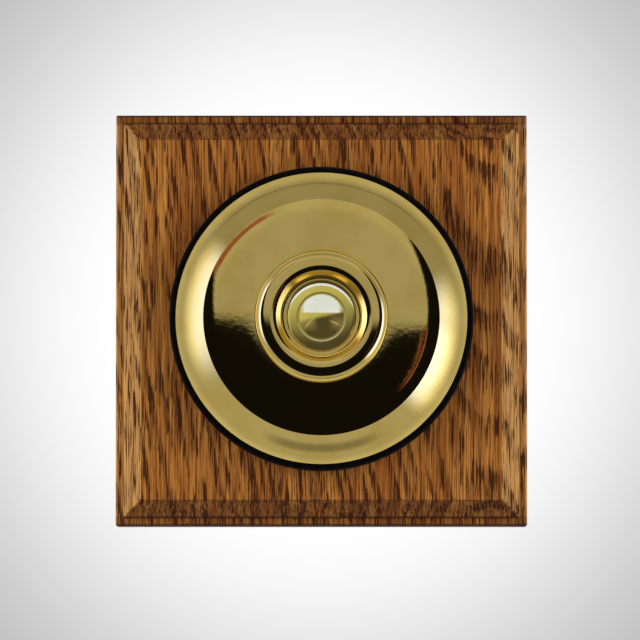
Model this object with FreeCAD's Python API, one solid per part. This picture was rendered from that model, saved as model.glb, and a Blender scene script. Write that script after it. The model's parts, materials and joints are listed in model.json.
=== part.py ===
import FreeCAD, Part
import math
import os

# Push button light switch: a brass dome with a sprung button on a black moulded
# base, carried by a bevelled oak plate that screws to a wall box.
#
# Millimetres. X runs to the right, Z up the wall, and the wall lies in the plane Y = 0.
# The room is on the -Y side, so "out" below is the distance from the wall, -Y.
# The button's axis is the Y axis, and the origin is on it, at the back of the oak plate.

# Oak plate
PLATE_SIDE = 92.0
PLATE_THICKNESS = 15.0
LEDGE_WIDTH = 1.8
LEDGE_ROUND = 0.7
QUIRK_HEIGHT = 0.5
BEVEL_WIDTH = 4.0
BEVEL_HEIGHT = 3.0
WALL_SCREW_SPACING = 60.3
WALL_SCREW_HOLE_RADIUS = 2.1
WALL_SCREW_HEAD_RADIUS = 3.6
WALL_SCREW_HEAD_DEPTH = 4.0

# Moulded base: a round flange on the plate, and a cup that reaches back into its hole
BASE_MARGIN = 1.45
FLANGE_HEIGHT = 4.6
FLANGE_ROUND = 0.6
FLOOR_THICKNESS = 3.0
SPIGOT_GAP = 0.8
SPIGOT_WALL = 1.7
SPIGOT_HEIGHT = 1.0
CUP_WALL = 3.5
CUP_DEPTH = 13.5
CUP_FLOOR = 2.5
CABLE_GAP = 5.0

# Brass dome: a steep roll at the rim, a crease, a shoulder and a shallow crown
DOME_RADIUS = 32.45
DOME_WALL = 0.9
RIM_LIP = 0.6
ROLL_WIDTH = 6.2
SHOULDER_WIDTH = 2.9
SEAT_MARGIN = 0.6
ROLL_RIM_TILT = 54.0
ROLL_CREASE_TILT = 30.0
SHOULDER_TILT = 20.0
CROWN_RIM_TILT = 9.0
CROWN_SEAT_TILT = 3.0

# Retaining ring that screws down over the bush and holds the dome
RING_WIDTH = 3.35
RING_HEIGHT = 3.65
RING_FALL = 0.23
RING_ROUND = 2.4
RING_RELIEF = 0.2
RING_THREAD_HEIGHT = 2.4

# Bush that guides the button, flush with the ring
BUSH_LIP_ROUND = 0.15
BUSH_RIM_WIDTH = 0.2
BUSH_FUNNEL_WIDTH = 2.9
BUSH_FUNNEL_DEPTH = 3.4
BUSH_LAND_WIDTH = 0.4
BUSH_FLANGE_WIDTH = 1.6
BUSH_FLANGE_THICKNESS = 1.6

# Button
BUTTON_RADIUS = 7.7
BUTTON_RECESS = 4.0
BUTTON_BEVEL_WIDTH = 1.1
BUTTON_BEVEL_FALL = 0.28
BUTTON_EDGE_ROUND = 0.15
BUTTON_CAP = 1.6
BUTTON_WALL = 1.5
BUTTON_LIP = 1.0
BUTTON_LIP_THICKNESS = 1.2
BUTTON_TRAVEL = 3.0
NUB_RADIUS = 4.9
NUB_HEIGHT = 1.1
GROOVE_WIDTH = 0.55
GROOVE_DEPTH = 0.35

# Plunger, guide and springs
PLUNGER_HEAD_HEIGHT = 2.0
STEM_RADIUS = 2.6
STEM_TIP_RADIUS = 1.6
STEM_TIP_OVERHANG = 0.5
GUIDE_THICKNESS = 1.4
GUIDE_LEDGE = 1.5
RETURN_SPRING_GAP = 1.8
RETURN_WIRE_RADIUS = 0.35
RETURN_SPRING_TURNS = 4.5
CONTACT_SPRING_LENGTH = 2.8
CONTACT_WIRE_RADIUS = 0.2
CONTACT_SPRING_TURNS = 3.5
CLIP_RADIUS = 3.0
CLIP_THICKNESS = 0.8
CLIP_GROOVE = 0.4
CLIP_MOUTH = 1.8

# Contacts and terminals
BRIDGE_TRAVEL = 2.0
BRIDGE_GAP = 0.75
BRIDGE_WIDTH = 5.0
BRIDGE_THICKNESS = 1.0
TIP_GAP = 1.3
TIP_INSET = 1.5
TIP_RADIUS = 1.4
TIP_HEIGHT = 0.8
ARM_THICKNESS = 1.2
ARM_WIDTH = 5.0
ARM_OVERHANG = 1.7
TERMINAL_INSET = 0.65
TERMINAL_LENGTH = 5.4
TERMINAL_WIDTH = 6.8
TERMINAL_HEIGHT = 8.6
WIRE_RADIUS = 1.7
WIRE_DEPTH = 7.0
WIRE_PASSAGE_GAP = 0.5
EARTH_PASSAGE_GAP = 0.75
CLAMP_SCREW_RADIUS = 1.45
CLAMP_HEAD_RADIUS = 2.0
CLAMP_HEAD_HEIGHT = 2.0
CLAMP_SCREW_CHAMFER = 0.1

# Cover plate and earth terminal
COVER_THICKNESS = 2.0
COVER_SCREW_INSET = 4.0
COVER_SCREW_RADIUS = 1.4
COVER_SCREW_HEAD_RADIUS = 2.5
COVER_SCREW_HEAD_HEIGHT = 1.6
EARTH_ANGLE = 45.0
EARTH_LENGTH = 5.2
EARTH_WIDTH = 5.6
EARTH_HEIGHT = 4.5
EARTH_WIRE_DEPTH = 3.8
EARTH_SCREW_GAP = 0.2

# Screws that hold the base to the plate
BASE_SCREW_GAP = 0.3
BASE_SCREW_RADIUS = 1.5
BASE_SCREW_LENGTH = 11.5
BASE_SCREW_HEAD_RADIUS = 2.9
BASE_SCREW_HEAD_HEIGHT = 1.8
SCREW_POINT = 2.0
SLOT_WIDTH = 0.8
SLOT_DEPTH = 0.8

# Clearances
RUNNING_CLEARANCE = 0.2
THREAD_CLEARANCE = 0.05
SEAT_CLEARANCE = 0.1
HOLE_CLEARANCE = 0.3
STOP_CLEARANCE = 0.6
CONTACT_CLEARANCE = 0.05

# How far a cutting tool runs past the face that it cuts
CUT_MARGIN = 1.0

# Radii about the button's axis, and offsets from it
bush_bore = BUTTON_RADIUS + RUNNING_CLEARANCE
bush_land = bush_bore + BUSH_LAND_WIDTH
bush_crest_radius = bush_land + BUSH_FUNNEL_WIDTH
bush_radius = bush_crest_radius + BUSH_RIM_WIDTH
ring_bore = bush_radius + THREAD_CLEARANCE
ring_radius = ring_bore + RING_WIDTH
seat_radius = ring_radius + SEAT_MARGIN
crease_radius = DOME_RADIUS - ROLL_WIDTH
shoulder_radius = crease_radius - SHOULDER_WIDTH
base_radius = DOME_RADIUS + BASE_MARGIN
spigot_radius = DOME_RADIUS - DOME_WALL - SPIGOT_GAP
tip_x = CLIP_RADIUS + TIP_GAP + TIP_RADIUS
bridge_end = tip_x + TIP_INSET
terminal_outer = bridge_end + BRIDGE_GAP + TERMINAL_LENGTH
terminal_x = terminal_outer - TERMINAL_LENGTH / 2
cup_bore = terminal_outer + TERMINAL_INSET
cup_radius = cup_bore + CUP_WALL
ledge_bore = cup_bore + GUIDE_LEDGE
cable_hole_radius = cup_radius + CABLE_GAP
wire_passage = WIRE_RADIUS + WIRE_PASSAGE_GAP
earth_hole = WIRE_RADIUS + EARTH_PASSAGE_GAP
earth_offset = cup_radius + CABLE_GAP / 2
cover_radius = earth_offset + EARTH_LENGTH / 2
cover_screw_x = ledge_bore + COVER_SCREW_INSET
base_screw_z = cover_radius + BASE_SCREW_GAP + BASE_SCREW_HEAD_RADIUS
return_spring_radius = STEM_RADIUS + RETURN_SPRING_GAP
contact_spring_radius = STEM_RADIUS - CONTACT_WIRE_RADIUS

# Levels, as distances out from the wall
plate_face = PLATE_THICKNESS
floor_top = plate_face + FLOOR_THICKNESS
flange_top = plate_face + FLANGE_HEIGHT
cup_back = plate_face - CUP_DEPTH
cup_floor = cup_back + CUP_FLOOR
bush_bottom = floor_top - BUSH_FLANGE_THICKNESS
guide_bottom = bush_bottom - GUIDE_THICKNESS
cover_top = floor_top + COVER_THICKNESS
lip_bottom = bush_bottom + BUTTON_TRAVEL + STOP_CLEARANCE
lip_top = lip_bottom + BUTTON_LIP_THICKNESS
arm_top = cup_floor + ARM_THICKNESS
fixed_tip_top = arm_top + TIP_HEIGHT
moving_tip_bottom = fixed_tip_top + CONTACT_CLEARANCE + BRIDGE_TRAVEL
bridge_bottom = moving_tip_bottom + TIP_HEIGHT
bridge_top = bridge_bottom + BRIDGE_THICKNESS
clip_bottom = bridge_bottom - CLIP_THICKNESS
stem_shoulder = bridge_top + CONTACT_SPRING_LENGTH
clamp_level = cup_floor + WIRE_DEPTH / 2 + CLAMP_SCREW_RADIUS / 2
earth_clamp_level = cover_top + EARTH_SCREW_GAP + CLAMP_HEAD_RADIUS


# Sections and solids

def at(radius, out):
    """A point of a half section, from its radius and its distance out from the wall."""
    return FreeCAD.Vector(radius, -out, 0)


def line(start, end):
    return Part.LineSegment(start, end).toShape()


def arc(start, middle, end):
    return Part.Arc(start, middle, end).toShape()


def path(*corners):
    """Edges through corners given as (radius, out), or (radius, out, rounding)."""
    points = [at(corner[0], corner[1]) for corner in corners]
    edges = []
    start = points[0]
    for index in range(1, len(points) - 1):
        rounding = corners[index][2] if len(corners[index]) == 3 else 0
        corner = points[index]
        if not rounding:
            edges.append(line(start, corner))
            start = corner
            continue
        back = (points[index - 1] - corner).normalize()
        ahead = (points[index + 1] - corner).normalize()
        half_angle = back.getAngle(ahead) / 2
        reach = rounding / math.tan(half_angle)
        bisector = (back + ahead).normalize()
        middle = corner + bisector * (rounding / math.sin(half_angle) - rounding)
        edges.append(line(start, corner + back * reach))
        edges.append(arc(corner + back * reach, middle, corner + ahead * reach))
        start = corner + ahead * reach
    edges.append(line(start, points[-1]))
    return edges


def spun(face):
    return face.revolve(FreeCAD.Vector(0, 0, 0), FreeCAD.Vector(0, 1, 0), 360)


def turned(*corners):
    """A solid of revolution about the button's axis, from the corners of its half section."""
    return spun(Part.Face(Part.Wire(path(*corners, corners[0][:2]))))


def rod(radius, bottom, top, x=0.0, z=0.0):
    """A cylinder along the button's axis, between two distances from the wall."""
    return Part.makeCylinder(radius, top - bottom, FreeCAD.Vector(x, -bottom, z), FreeCAD.Vector(0, -1, 0))


def block(x_size, z_size, bottom, top, x=0.0, z=0.0):
    """A box centred on x and z, between two distances from the wall."""
    corner = FreeCAD.Vector(x - x_size / 2, -top, z - z_size / 2)
    return Part.makeBox(x_size, top - bottom, z_size, corner)


def square(side, out):
    """A closed square wire parallel to the wall."""
    half = side / 2
    corners = [(-half, -half), (half, -half), (half, half), (-half, half), (-half, -half)]
    return Part.makePolygon([FreeCAD.Vector(x, -out, z) for x, z in corners])


def drilled(shape, holes):
    return shape.cut(holes)


def joined(shape, *others):
    return shape.fuse(list(others)).removeSplitter()


def around(shape, angle):
    """The shape turned about the button's axis, seen from the wall."""
    turned_shape = shape.copy()
    turned_shape.rotate(FreeCAD.Vector(0, 0, 0), FreeCAD.Vector(0, 1, 0), angle)
    return turned_shape


def coil(radius, wire_radius, turns, bottom, top):
    """A compression spring that fills the space between two distances from the wall."""
    height = top - bottom - 2 * wire_radius
    helix = Part.makeHelix(height / turns, height, radius)
    centre = FreeCAD.Vector(radius, 0, 0)
    section = Part.Wire(Part.makeCircle(wire_radius, centre, FreeCAD.Vector(0, 1, 0)))
    spring = Part.Wire(helix).makePipeShell([section], True, True)
    spring.rotate(FreeCAD.Vector(0, 0, 0), FreeCAD.Vector(1, 0, 0), 90)
    spring.translate(FreeCAD.Vector(0, -bottom - wire_radius, 0))
    return spring


def slotted_screw(radius, length, point, head_radius, head_height):
    """A cheese head screw along the axis: its head stands out from zero, its shank goes back."""
    shank = turned((0, 0), (radius, 0), (radius, point - length), (0, -length))
    head = turned((0, 0), (head_radius, 0), (head_radius, head_height, head_height / 3), (0, head_height))
    slot_length = 2 * head_radius + CUT_MARGIN
    slot = block(slot_length, SLOT_WIDTH, head_height - SLOT_DEPTH, head_height + CUT_MARGIN)
    return joined(shank, head).cut(slot)


def moved(shape, x=0.0, out=0.0, z=0.0):
    copy = shape.copy()
    copy.translate(FreeCAD.Vector(x, -out, z))
    return copy


# The dome's section, from the rim up to the seat of the retaining ring

def tilted_arc(start_radius, start_tilt, end_radius, end_tilt, start_out):
    """A convex arc whose surface leans back from the wall by the tilts given, in degrees."""
    tilts = [math.radians(t) for t in (start_tilt, (start_tilt + end_tilt) / 2, end_tilt)]
    radius = (start_radius - end_radius) / (math.sin(tilts[0]) - math.sin(tilts[2]))
    centre = (start_radius - radius * math.sin(tilts[0]), start_out - radius * math.cos(tilts[0]))
    return [(centre[0] + radius * math.sin(t), centre[1] + radius * math.cos(t)) for t in tilts]


roll = tilted_arc(DOME_RADIUS, ROLL_RIM_TILT, crease_radius, ROLL_CREASE_TILT, flange_top + RIM_LIP)
shoulder = tilted_arc(crease_radius, SHOULDER_TILT, shoulder_radius, CROWN_RIM_TILT, roll[2][1])
crown = tilted_arc(shoulder_radius, CROWN_RIM_TILT, seat_radius, CROWN_SEAT_TILT, shoulder[2][1])
seat_level = crown[2][1]
ring_top = seat_level + RING_HEIGHT
bush_crest = ring_top
button_face = bush_crest - BUTTON_RECESS
head_top = button_face - BUTTON_CAP
head_bottom = head_top - PLUNGER_HEAD_HEIGHT


# Pieces on the wall side

def oak_plate():
    bevel_foot_side = PLATE_SIDE - 2 * LEDGE_WIDTH
    face_side = bevel_foot_side - 2 * BEVEL_WIDTH
    bevel_foot = plate_face - BEVEL_HEIGHT
    ledge = bevel_foot - QUIRK_HEIGHT
    slab = block(PLATE_SIDE, PLATE_SIDE, 0, ledge)
    front_edges = [e for e in slab.Edges if all(abs(v.Y + ledge) < 1e-6 for v in e.Vertexes)]
    slab = slab.makeFillet(LEDGE_ROUND, front_edges)
    riser = block(bevel_foot_side, bevel_foot_side, 0, bevel_foot)
    bevel = Part.makeLoft([square(bevel_foot_side, bevel_foot), square(face_side, plate_face)], True, True)
    holes = [rod(cable_hole_radius, -CUT_MARGIN, plate_face + CUT_MARGIN)]
    for side in (-1, 1):
        x = side * WALL_SCREW_SPACING / 2
        holes.append(rod(WALL_SCREW_HOLE_RADIUS, -CUT_MARGIN, plate_face + CUT_MARGIN, x=x))
        head_seat = plate_face - WALL_SCREW_HEAD_DEPTH
        holes.append(rod(WALL_SCREW_HEAD_RADIUS, head_seat, plate_face + CUT_MARGIN, x=x))
        pilot_radius = BASE_SCREW_RADIUS + THREAD_CLEARANCE
        pilot = turned(
            (0, floor_top), (pilot_radius, floor_top),
            (pilot_radius, floor_top - BASE_SCREW_LENGTH + SCREW_POINT),
            (0, floor_top - BASE_SCREW_LENGTH - THREAD_CLEARANCE))
        holes.append(moved(pilot, z=side * base_screw_z))
    return drilled(joined(slab, riser, bevel), holes)


def mounting_base():
    spigot_top = flange_top + SPIGOT_HEIGHT
    spigot_bore = spigot_radius - SPIGOT_WALL
    body = turned(
        (0, cup_back), (cup_radius, cup_back), (cup_radius, plate_face), (base_radius, plate_face),
        (base_radius, flange_top, FLANGE_ROUND), (spigot_radius, flange_top), (spigot_radius, spigot_top),
        (spigot_bore, spigot_top), (spigot_bore, floor_top), (ledge_bore, floor_top),
        (ledge_bore, guide_bottom), (cup_bore, guide_bottom), (cup_bore, cup_floor), (0, cup_floor))
    earth_passage = rod(earth_hole, plate_face - CUT_MARGIN, floor_top + CUT_MARGIN, z=earth_offset)
    holes = [around(earth_passage, -EARTH_ANGLE)]
    for side in (-1, 1):
        holes.append(rod(wire_passage, cup_back - CUT_MARGIN, cup_floor + CUT_MARGIN, x=side * terminal_x))
        holes.append(clamp_access(side))
        screw_radius = BASE_SCREW_RADIUS + HOLE_CLEARANCE
        head_radius = BASE_SCREW_HEAD_RADIUS + HOLE_CLEARANCE
        holes.append(rod(screw_radius, plate_face - CUT_MARGIN, floor_top, z=side * base_screw_z))
        holes.append(rod(head_radius, floor_top, spigot_top + CUT_MARGIN, z=side * base_screw_z))
        thread_radius = COVER_SCREW_RADIUS + THREAD_CLEARANCE
        x = side * cover_screw_x
        holes.append(rod(thread_radius, plate_face - CUT_MARGIN, floor_top + CUT_MARGIN, x=x))
    return drilled(body, holes)


def clamp_access(side):
    """The hole in the cup's wall through which a terminal's clamping screw is reached."""
    start = FreeCAD.Vector(side * (terminal_outer - CUT_MARGIN), -clamp_level, 0)
    radius = CLAMP_HEAD_RADIUS + HOLE_CLEARANCE
    return Part.makeCylinder(radius, cup_radius, start, FreeCAD.Vector(side, 0, 0))


def base_screws():
    screw = slotted_screw(
        BASE_SCREW_RADIUS, BASE_SCREW_LENGTH, SCREW_POINT, BASE_SCREW_HEAD_RADIUS, BASE_SCREW_HEAD_HEIGHT)
    return Part.makeCompound([moved(screw, out=floor_top, z=side * base_screw_z) for side in (-1, 1)])


# Brass pieces on the room side

def dome_cover():
    bore = bush_radius + HOLE_CLEARANCE
    outside = [line(at(DOME_RADIUS, flange_top), at(*roll[0]))]
    outside += [arc(*[at(*point) for point in curve]) for curve in (roll, shoulder, crown)]
    outside.append(line(at(*crown[2]), at(bore, seat_level)))
    return spun(Part.Wire(outside).makeOffset2D(DOME_WALL, join=2, fill=True, openResult=True))


def retaining_ring():
    relief = ring_bore + RING_RELIEF
    thread_top = seat_level + RING_THREAD_HEIGHT
    return turned(
        (ring_bore, seat_level), (ring_radius, seat_level), (ring_radius, ring_top - RING_FALL, RING_ROUND),
        (relief, ring_top), (relief, thread_top), (ring_bore, thread_top))


def button_bush():
    lip_bore = BUTTON_RADIUS + BUTTON_LIP + RUNNING_CLEARANCE
    flange = bush_radius + BUSH_FLANGE_WIDTH
    land = bush_crest - BUSH_FUNNEL_DEPTH
    crest = at(bush_crest_radius, bush_crest)
    bottom_of_funnel = at(bush_land, land)
    funnel_middle = at(
        bush_crest_radius - BUSH_FUNNEL_WIDTH * math.sin(math.pi / 4),
        land + BUSH_FUNNEL_DEPTH * math.cos(math.pi / 4))
    outside = path(
        (bush_land, land), (bush_bore, land), (bush_bore, lip_top), (lip_bore, lip_top),
        (lip_bore, bush_bottom), (flange, bush_bottom), (flange, floor_top), (bush_radius, floor_top),
        (bush_radius, bush_crest, BUSH_LIP_ROUND), (bush_crest_radius, bush_crest))
    return spun(Part.Face(Part.Wire([*outside, arc(crest, funnel_middle, bottom_of_funnel)])))


def push_button():
    cavity = BUTTON_RADIUS - BUTTON_WALL
    lip = BUTTON_RADIUS + BUTTON_LIP
    groove = NUB_RADIUS + GROOVE_WIDTH
    groove_bottom = button_face - GROOVE_DEPTH
    nub_sphere = (NUB_RADIUS ** 2 + NUB_HEIGHT ** 2) / (2 * NUB_HEIGHT)
    half_slope = math.asin(NUB_RADIUS / nub_sphere) / 2
    nub_top = button_face + NUB_HEIGHT
    nub_middle = at(
        nub_sphere * math.sin(half_slope), nub_top - nub_sphere * (1 - math.cos(half_slope)))
    bevel = BUTTON_RADIUS - BUTTON_BEVEL_WIDTH
    outside = path(
        (NUB_RADIUS, button_face), (NUB_RADIUS, groove_bottom), (groove, groove_bottom),
        (groove, button_face), (bevel, button_face),
        (BUTTON_RADIUS, button_face - BUTTON_BEVEL_FALL, BUTTON_EDGE_ROUND), (BUTTON_RADIUS, lip_top),
        (lip, lip_top),
        (lip, lip_bottom), (cavity, lip_bottom), (cavity, head_top), (0, head_top), (0, nub_top))
    nub = arc(at(0, nub_top), nub_middle, at(NUB_RADIUS, button_face))
    return spun(Part.Face(Part.Wire([*outside, nub])))


# The mechanism

def cover_plate():
    plate = turned(
        (bush_radius + HOLE_CLEARANCE, floor_top), (cover_radius, floor_top), (cover_radius, cover_top),
        (bush_radius + HOLE_CLEARANCE, cover_top))
    earth_passage = rod(wire_passage, floor_top - CUT_MARGIN, cover_top + CUT_MARGIN, z=earth_offset)
    holes = [around(earth_passage, -EARTH_ANGLE)]
    screw_radius = COVER_SCREW_RADIUS + HOLE_CLEARANCE
    for side in (-1, 1):
        x = side * cover_screw_x
        holes.append(rod(screw_radius, floor_top - CUT_MARGIN, cover_top + CUT_MARGIN, x=x))
    return drilled(plate, holes)


def cover_screws():
    length = COVER_THICKNESS + FLOOR_THICKNESS
    screw = slotted_screw(
        COVER_SCREW_RADIUS, length, COVER_SCREW_RADIUS / 2, COVER_SCREW_HEAD_RADIUS, COVER_SCREW_HEAD_HEIGHT)
    return Part.makeCompound([moved(screw, x=side * cover_screw_x, out=cover_top) for side in (-1, 1)])


def plunger_guide():
    rim = ledge_bore - SEAT_CLEARANCE
    hole = STEM_RADIUS + RUNNING_CLEARANCE
    return turned((hole, guide_bottom), (rim, guide_bottom), (rim, bush_bottom), (hole, bush_bottom))


def plunger():
    head = BUTTON_RADIUS - BUTTON_WALL - SEAT_CLEARANCE
    groove = STEM_TIP_RADIUS - CLIP_GROOVE
    stem_end = clip_bottom - STEM_TIP_OVERHANG
    return turned(
        (0, stem_end), (STEM_TIP_RADIUS, stem_end), (STEM_TIP_RADIUS, clip_bottom), (groove, clip_bottom),
        (groove, bridge_bottom), (STEM_TIP_RADIUS, bridge_bottom), (STEM_TIP_RADIUS, stem_shoulder),
        (STEM_RADIUS, stem_shoulder), (STEM_RADIUS, head_bottom), (head, head_bottom), (head, head_top),
        (0, head_top))


def return_spring():
    return coil(return_spring_radius, RETURN_WIRE_RADIUS, RETURN_SPRING_TURNS, bush_bottom, head_bottom)


def contact_spring():
    return coil(contact_spring_radius, CONTACT_WIRE_RADIUS, CONTACT_SPRING_TURNS, bridge_top, stem_shoulder)


def stem_clip():
    hole = STEM_TIP_RADIUS - CLIP_GROOVE
    ring = turned(
        (hole, clip_bottom), (CLIP_RADIUS, clip_bottom), (CLIP_RADIUS, bridge_bottom), (hole, bridge_bottom))
    mouth_bottom = clip_bottom - CUT_MARGIN
    mouth_top = bridge_bottom + CUT_MARGIN
    return ring.cut(block(CLIP_MOUTH, 2 * CLIP_RADIUS, mouth_bottom, mouth_top, z=-CLIP_RADIUS))


def contact_bridge():
    bar = block(2 * bridge_end, BRIDGE_WIDTH, bridge_bottom, bridge_top)
    hole = STEM_TIP_RADIUS + RUNNING_CLEARANCE
    return bar.cut(rod(hole, bridge_bottom - CUT_MARGIN, bridge_top + CUT_MARGIN))


def tips(bottom, top):
    """The pair of silver contacts at one level."""
    return Part.makeCompound([rod(TIP_RADIUS, bottom, top, x=side * tip_x) for side in (-1, 1)])


def mains_terminal(side):
    """A brass terminal on the cup's floor, with the arm that carries its fixed contact."""
    x = side * terminal_x
    body = block(TERMINAL_LENGTH, TERMINAL_WIDTH, cup_floor, cup_floor + TERMINAL_HEIGHT, x=x)
    arm_end = tip_x - ARM_OVERHANG
    arm_length = terminal_x - arm_end
    arm = block(arm_length, ARM_WIDTH, cup_floor, arm_top, x=side * (arm_end + arm_length / 2))
    wire_hole = rod(WIRE_RADIUS, cup_floor - CUT_MARGIN, cup_floor + WIRE_DEPTH, x=x)
    screw_start = FreeCAD.Vector(x, -clamp_level, 0)
    screw_radius = CLAMP_SCREW_RADIUS + THREAD_CLEARANCE
    screw_hole = Part.makeCylinder(screw_radius, TERMINAL_LENGTH, screw_start, FreeCAD.Vector(side, 0, 0))
    return drilled(joined(body, arm), [wire_hole, screw_hole])


def clamp_screw(wall):
    """A clamping screw for a terminal wall of this thickness, along the button's axis."""
    return slotted_screw(
        CLAMP_SCREW_RADIUS, wall, CLAMP_SCREW_CHAMFER, CLAMP_HEAD_RADIUS, CLAMP_HEAD_HEIGHT)


def terminal_screws():
    wall = TERMINAL_LENGTH / 2 - WIRE_RADIUS
    screws = []
    for side in (-1, 1):
        screw = clamp_screw(wall)
        screw.rotate(FreeCAD.Vector(0, 0, 0), FreeCAD.Vector(0, 0, 1), side * 90)
        screws.append(moved(screw, x=side * terminal_outer, out=clamp_level))
    return Part.makeCompound(screws)


def earth_terminal():
    body = block(EARTH_WIDTH, EARTH_LENGTH, cover_top, cover_top + EARTH_HEIGHT, z=earth_offset)
    wire_hole = rod(WIRE_RADIUS, cover_top - CUT_MARGIN, cover_top + EARTH_WIRE_DEPTH, z=earth_offset)
    screw_start = FreeCAD.Vector(0, -earth_clamp_level, earth_offset)
    screw_radius = CLAMP_SCREW_RADIUS + THREAD_CLEARANCE
    screw_hole = Part.makeCylinder(screw_radius, EARTH_WIDTH, screw_start, FreeCAD.Vector(1, 0, 0))
    return around(drilled(body, [wire_hole, screw_hole]), -EARTH_ANGLE)


def earth_screw():
    screw = clamp_screw(EARTH_WIDTH / 2 - WIRE_RADIUS)
    screw.rotate(FreeCAD.Vector(0, 0, 0), FreeCAD.Vector(0, 0, 1), 90)
    screw = moved(screw, x=EARTH_WIDTH / 2, out=earth_clamp_level, z=earth_offset)
    return around(screw, -EARTH_ANGLE)


PIECES = {
    "oak_plate": oak_plate(),
    "mounting_base": mounting_base(),
    "base_screws": base_screws(),
    "dome_cover": dome_cover(),
    "retaining_ring": retaining_ring(),
    "button_bush": button_bush(),
    "push_button": push_button(),
    "cover_plate": cover_plate(),
    "cover_screws": cover_screws(),
    "plunger_guide": plunger_guide(),
    "plunger": plunger(),
    "return_spring": return_spring(),
    "contact_spring": contact_spring(),
    "stem_clip": stem_clip(),
    "contact_bridge": contact_bridge(),
    "moving_contact_tips": tips(moving_tip_bottom, bridge_bottom),
    "fixed_contact_tips": tips(arm_top, fixed_tip_top),
    "line_terminal": mains_terminal(-1),
    "load_terminal": mains_terminal(1),
    "terminal_screws": terminal_screws(),
    "earth_terminal": earth_terminal(),
    "earth_screw": earth_screw(),
}

os.makedirs("parts", exist_ok=True)
for name, shape in PIECES.items():
    shape.exportStep(os.path.join("parts", name + ".step"))
    print(f"{name:20s} solids {len(shape.Solids)} valid {shape.isValid()} volume {shape.Volume:9.2f} mm3")
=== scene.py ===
"""Looks of a push button light switch.

A polished brass dome and button sit on a black moulded base, on a bevelled plate of stained oak.
Metres, in the frame of the solids: X to the right, Z up the wall, the wall in the plane Y = 0 and
the room on the -Y side. "Out" is the distance from the wall, which is -Y, and pieces that are
turned are turned about the button's axis, which is the Y axis.
"""

import json
import math

import bmesh
import bpy
from bpy.props import FloatProperty, FloatVectorProperty, PointerProperty
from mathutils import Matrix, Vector


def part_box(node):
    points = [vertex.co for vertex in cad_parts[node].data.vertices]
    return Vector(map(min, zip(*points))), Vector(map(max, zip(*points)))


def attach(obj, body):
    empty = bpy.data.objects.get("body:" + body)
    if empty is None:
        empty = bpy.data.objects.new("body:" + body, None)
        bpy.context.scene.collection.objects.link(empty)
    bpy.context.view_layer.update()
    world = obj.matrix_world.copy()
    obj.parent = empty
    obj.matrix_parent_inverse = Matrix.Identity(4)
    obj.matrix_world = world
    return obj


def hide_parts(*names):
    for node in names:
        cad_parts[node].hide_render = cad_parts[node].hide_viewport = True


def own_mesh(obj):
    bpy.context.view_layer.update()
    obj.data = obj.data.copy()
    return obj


bl_info = {
    "name": "Push button light switch",
    "version": (1, 0, 0),
    "blender": (4, 5, 0),
    "location": "View3D > Sidebar > Switch",
    "description": "Builds the brass, oak and moulded pieces of a push button light switch",
    "category": "Object",
}

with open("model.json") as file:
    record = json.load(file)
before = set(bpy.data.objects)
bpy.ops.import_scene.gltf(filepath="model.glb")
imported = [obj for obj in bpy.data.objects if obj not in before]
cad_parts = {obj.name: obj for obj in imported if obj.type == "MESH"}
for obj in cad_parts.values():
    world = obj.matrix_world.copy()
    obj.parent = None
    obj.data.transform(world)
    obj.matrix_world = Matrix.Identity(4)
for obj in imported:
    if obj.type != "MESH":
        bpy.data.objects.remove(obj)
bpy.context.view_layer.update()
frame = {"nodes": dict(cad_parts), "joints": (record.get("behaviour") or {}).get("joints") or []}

MM = 0.001
FULL_TURN = 2 * math.pi
TURN_SEGMENTS = 240
ARC_STEP = math.radians(4)
CROWN_STEP = math.radians(1.5)
COIL_STEPS = 40
WIRE_SIDES = 12
HOLE_SEGMENTS = 96
CORNER_STEPS = 3
CORNERS = ((1, 1), (-1, 1), (-1, -1), (1, -1))

# Edges stay hard where the faces turn by more than these
TURNED_CREASE = math.radians(25)
BUSH_CREASE = math.radians(10)
DOME_CREASE = math.radians(6)
COIL_CREASE = math.radians(50)
BOARD_CREASE = math.radians(30)

# How strongly the board's large flat faces set the normals at their edges
FACE_WEIGHT = 100

# The curve that turns a screen's values into linear ones
SCREEN_WHITE = 255
SCREEN_FOOT, SCREEN_SLOPE = 0.04045, 12.92
SCREEN_OFFSET, SCREEN_POWER = 0.055, 2.4

# Sockets of a Mix node that blends colours
MIX_AMOUNT, MIX_FIRST, MIX_SECOND, MIX_RESULT = 0, 6, 7, 2


def span(node):
    """A node's largest radius about the button's axis, and its lowest and highest distance out."""
    low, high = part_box(node)
    return high.x, -high.y, -low.y


DOME_RADIUS, RIM_LEVEL, SEAT_LEVEL = span("dome_cover")
RING_RADIUS, _, RING_TOP = span("retaining_ring")
BUSH_FLANGE, BUSH_BOTTOM, BUSH_CREST = span("button_bush")
BUTTON_LIP, LIP_BOTTOM, NUB_TOP = span("push_button")
PLATE_HALF, _, PLATE_FACE = span("oak_plate")
BASE_FLOOR = span("cover_plate")[1]
HEAD_TOP = span("plunger")[2]


def display(red, green, blue):
    """A colour as a screen shows it, from 0 to 255, turned into the linear values that shaders use."""
    values = []
    for part in (red / SCREEN_WHITE, green / SCREEN_WHITE, blue / SCREEN_WHITE):
        curved = ((part + SCREEN_OFFSET) / (1 + SCREEN_OFFSET)) ** SCREEN_POWER
        values.append(curved if part > SCREEN_FOOT else part / SCREEN_SLOPE)
    return tuple(values)


def length(label, text, size_mm):
    """A length that a user can set, given here in millimetres."""
    return FloatProperty(
        name=label, description=text, default=size_mm * MM, min=0, subtype="DISTANCE", unit="LENGTH")


def slope(label, text, degrees):
    """An angle that a user can set, given here in degrees."""
    return FloatProperty(
        name=label, description=text, default=math.radians(degrees), subtype="ANGLE", unit="ROTATION")


def colour(label, text, value):
    """A colour that a user can set, in linear values."""
    return FloatVectorProperty(
        name=label, description=text, default=value, min=0, soft_max=1, size=3, subtype="COLOR")


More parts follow.
